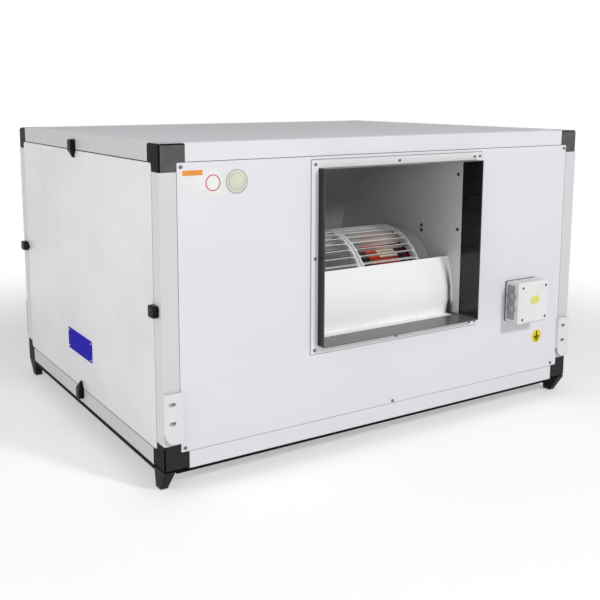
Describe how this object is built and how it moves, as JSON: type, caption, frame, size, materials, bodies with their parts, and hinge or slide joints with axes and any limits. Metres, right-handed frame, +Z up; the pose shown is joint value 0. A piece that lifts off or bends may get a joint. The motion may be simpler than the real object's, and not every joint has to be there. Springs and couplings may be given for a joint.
{
  "type": "ceiling evaporative cooler",
  "caption": "Framed and panelled evaporative cooler cabinet with a double-inlet blower behind its front air outlet and a cellulose pad across its rear.",
  "frame": {"origin": "centre of the whole object's box, on the plane that the feet stand on", "axes": "+X along the outlet face to the right as seen from the front, +Y from the outlet face to the rear pad, +Z up"},
  "size_m": [1.093, 0.908, 0.642],
  "materials": {
    "white_profile": "white powder-coated aluminium profile, satin",
    "white_panel": "white pre-painted sheet, smooth satin",
    "black_plastic": "black moulded plastic, fine grain",
    "galvanised_sheet": "galvanised sheet steel, soft spangle",
    "dark_lining": "dark grey paint on sheet, matt",
    "white_sheet": "white coated sheet steel, satin",
    "motor_enamel": "red-orange motor enamel, semi-gloss",
    "bright_steel": "turned shaft steel",
    "junction_plastic": "pale grey moulded plastic",
    "cellulose": "brown corrugated cellulose, absorbent"
  },
  "bodies": {
    "cabinet": {"access_panel_left": "white_panel", "access_panel_right": "white_panel", "blower_side_left": "white_sheet", "blower_side_right": "white_sheet", "blower_wrapper": "white_sheet", "bottom_rail_front": "white_profile", "bottom_rail_left": "white_profile", "bottom_rail_rear": "white_profile", "bottom_rail_right": "white_profile", "bracket_front_left": "white_profile", "bracket_front_right": "white_profile", "bracket_rear_left": "white_profile", "bracket_rear_right": "white_profile", "cellulose_pad": "cellulose", "corner_block_bottom_front_left": "black_plastic", "corner_block_bottom_front_right": "black_plastic", "corner_block_bottom_rear_left": "black_plastic", "corner_block_bottom_rear_right": "black_plastic", "corner_block_top_front_left": "black_plastic", "corner_block_top_front_right": "black_plastic", "corner_block_top_rear_left": "black_plastic", "corner_block_top_rear_right": "black_plastic", "floor_panel": "white_panel", "foot_front_left": "black_plastic", "foot_front_right": "black_plastic", "foot_rear_left": "black_plastic", "foot_rear_right": "black_plastic", "front_panel": "white_panel", "junction_box": "junction_plastic", "junction_box_cover": "junction_plastic", "lock_knob_bottom_left": "black_plastic", "lock_knob_bottom_right": "black_plastic", "lock_knob_front_left": "black_plastic", "lock_knob_front_right": "black_plastic", "lock_knob_rear_left": "black_plastic", "lock_knob_rear_right": "black_plastic", "lock_knob_top_left": "black_plastic", "lock_knob_top_right": "black_plastic", "motor": "motor_enamel", "motor_spider": "galvanised_sheet", "outlet_flange": "white_sheet", "outlet_sleeve": "dark_lining", "pad_frame": "galvanised_sheet", "post_front_left": "white_profile", "post_front_right": "white_profile", "post_rear_left": "white_profile", "post_rear_right": "white_profile", "roof_panel": "white_panel", "top_rail_front": "white_profile", "top_rail_left": "white_profile", "top_rail_rear": "white_profile", "top_rail_right": "white_profile"},
    "fan": {"fan_wheel": "white_sheet", "motor_shaft": "bright_steel"}
  },
  "joints": [
    {"name": "fan_spin", "type": "hinge", "parent": "cabinet", "child": "fan", "pos_m": [0.007, -0.156, 0.2691], "axis": [1, 0, 0], "continuous": true}
  ]
}
